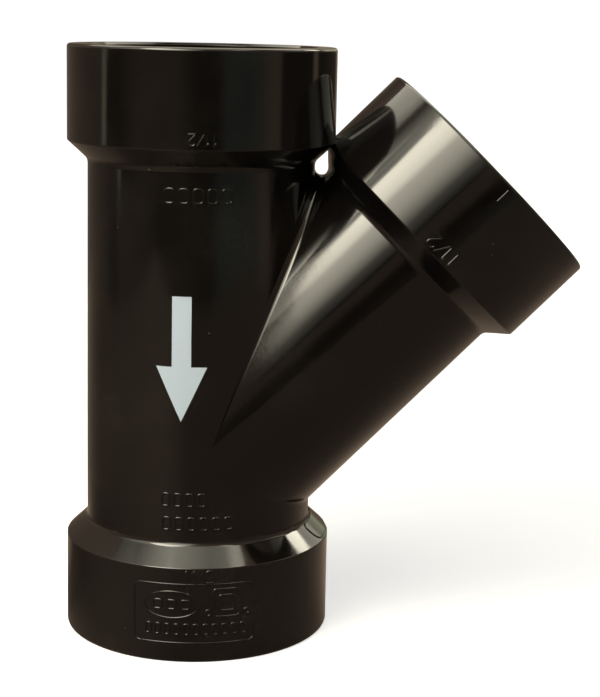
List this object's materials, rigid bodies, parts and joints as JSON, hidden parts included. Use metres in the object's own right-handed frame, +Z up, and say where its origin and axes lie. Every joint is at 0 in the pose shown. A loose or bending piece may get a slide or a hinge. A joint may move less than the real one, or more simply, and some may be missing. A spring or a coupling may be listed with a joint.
{
  "type": "drain wye fitting",
  "caption": "Black moulded drain wye: a straight run with a 45 degree side branch, thick socket hubs at the mouths and short cones down to the body.",
  "frame": {"origin": "centre of the lower socket's mouth, in the plane of the lower rim", "axes": "+Z up along the run, +X towards the side that the branch leans to, in the plane of both axes"},
  "size_m": [0.1109, 0.0574, 0.1264],
  "materials": {
    "black_abs": "glossy as moulded"
  },
  "bodies": {
    "root": {"wye_body": "black_abs"}
  },
  "joints": []
}
